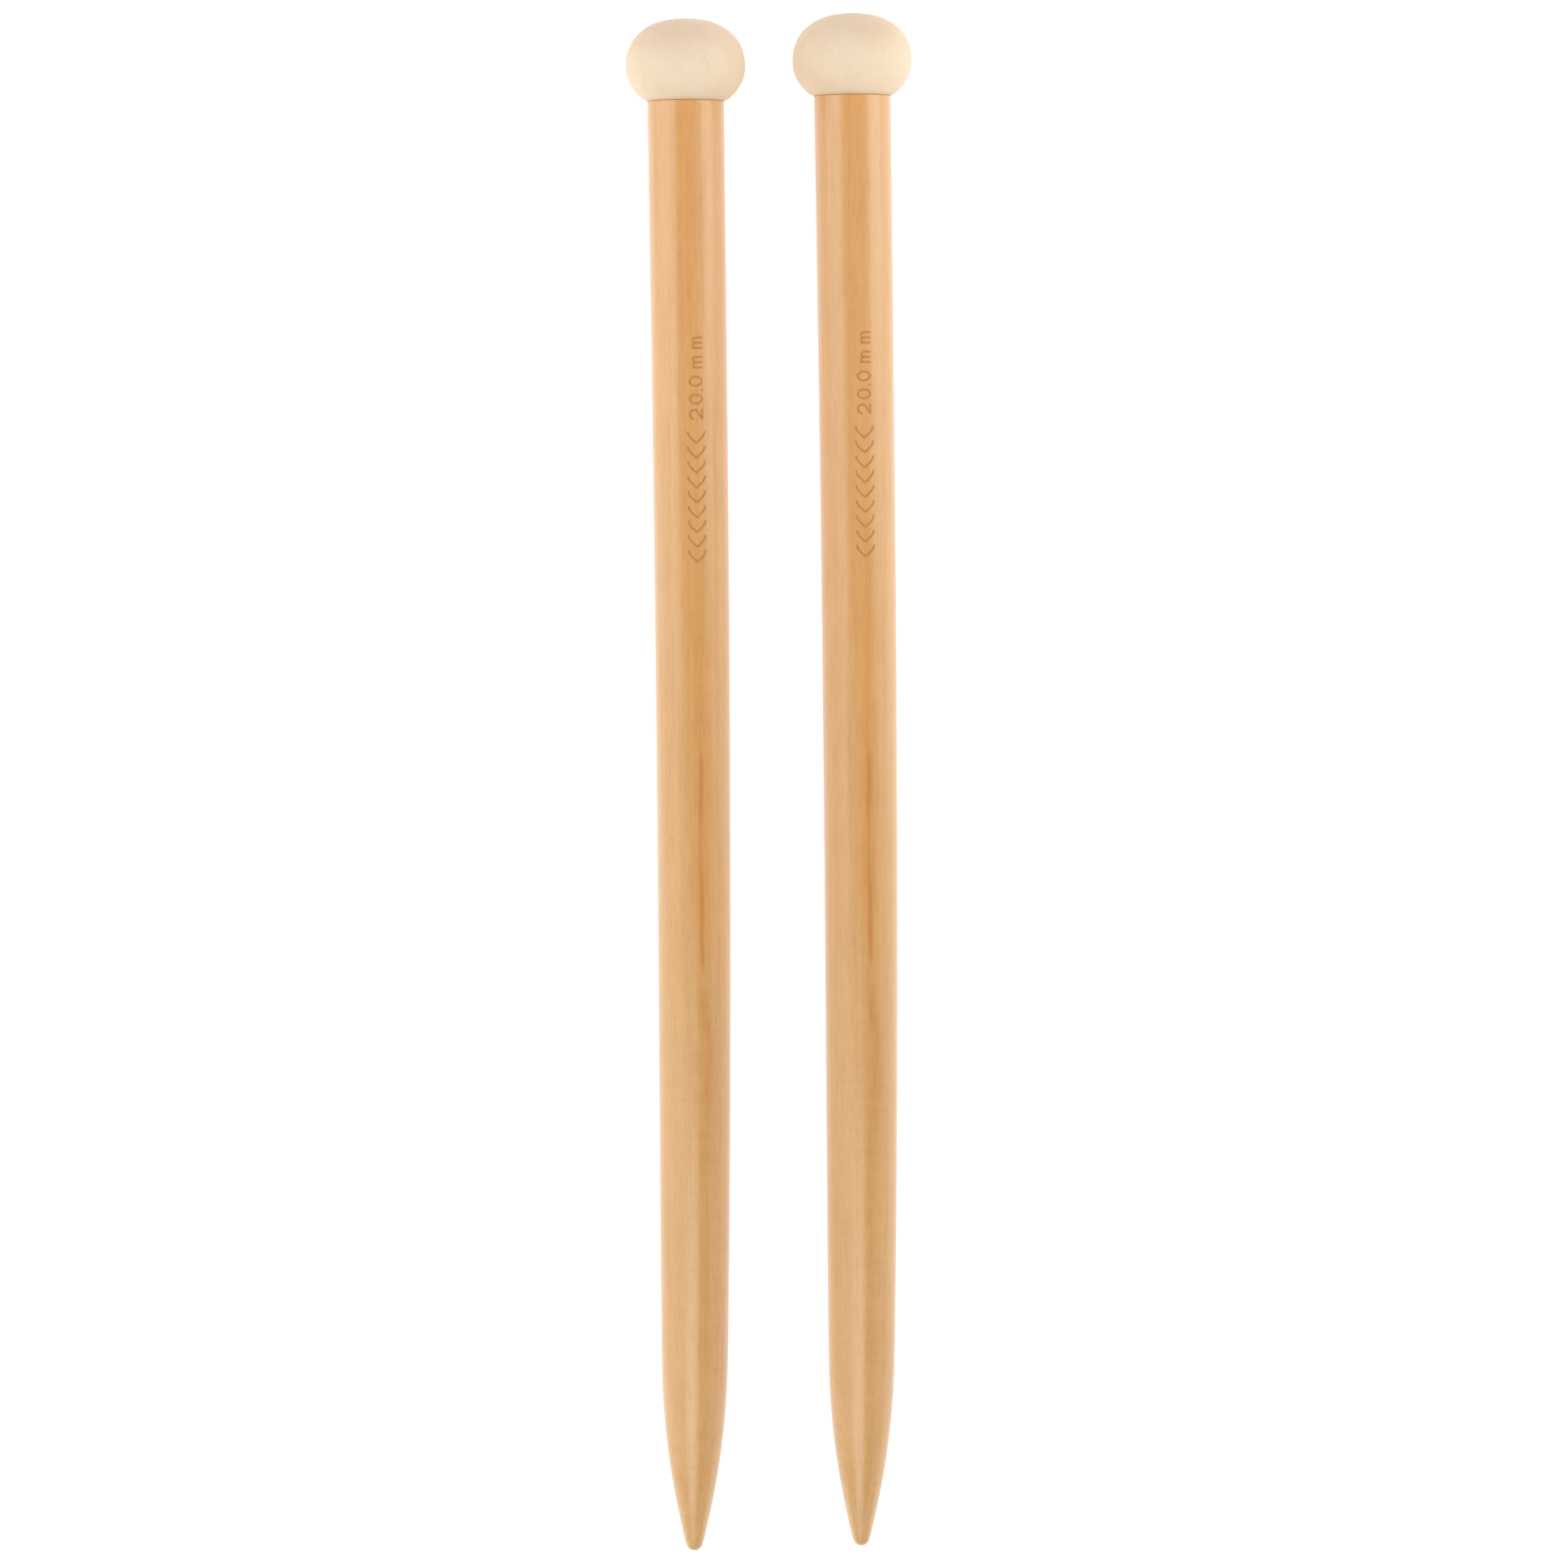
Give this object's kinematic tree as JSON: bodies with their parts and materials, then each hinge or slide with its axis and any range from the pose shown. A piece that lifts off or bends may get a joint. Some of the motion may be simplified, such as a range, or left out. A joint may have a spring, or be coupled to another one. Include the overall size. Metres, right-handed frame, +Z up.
{
  "type": "straight knitting needles",
  "caption": "Single-pointed straight wooden knitting needles: varnished tapered shafts with round bare-wood end knobs that keep the stitches on.",
  "frame": {"origin": "on the table, under the middle of the pair's bounding box", "axes": "+Y along the needles towards the knobs, +X from the left needle to the right one, +Z up from the table"},
  "size_m": [0.0742, 0.4074, 0.031],
  "materials": {
    "varnished_wood": "satin clear varnish over pale orange-tan wood, straight fine grain",
    "bare_wood": "matte, sanded, unvarnished cream wood"
  },
  "bodies": {
    "left_needle": {"left_shaft": "varnished_wood", "left_knob": "bare_wood"},
    "right_needle": {"right_shaft": "varnished_wood", "right_knob": "bare_wood"}
  },
  "joints": [
    {"name": "right_needle_draw", "type": "slide", "parent": "left_needle", "child": "right_needle", "axis": [-0.0022, 1, 0], "range_m": [0, 0.385]}
  ]
}
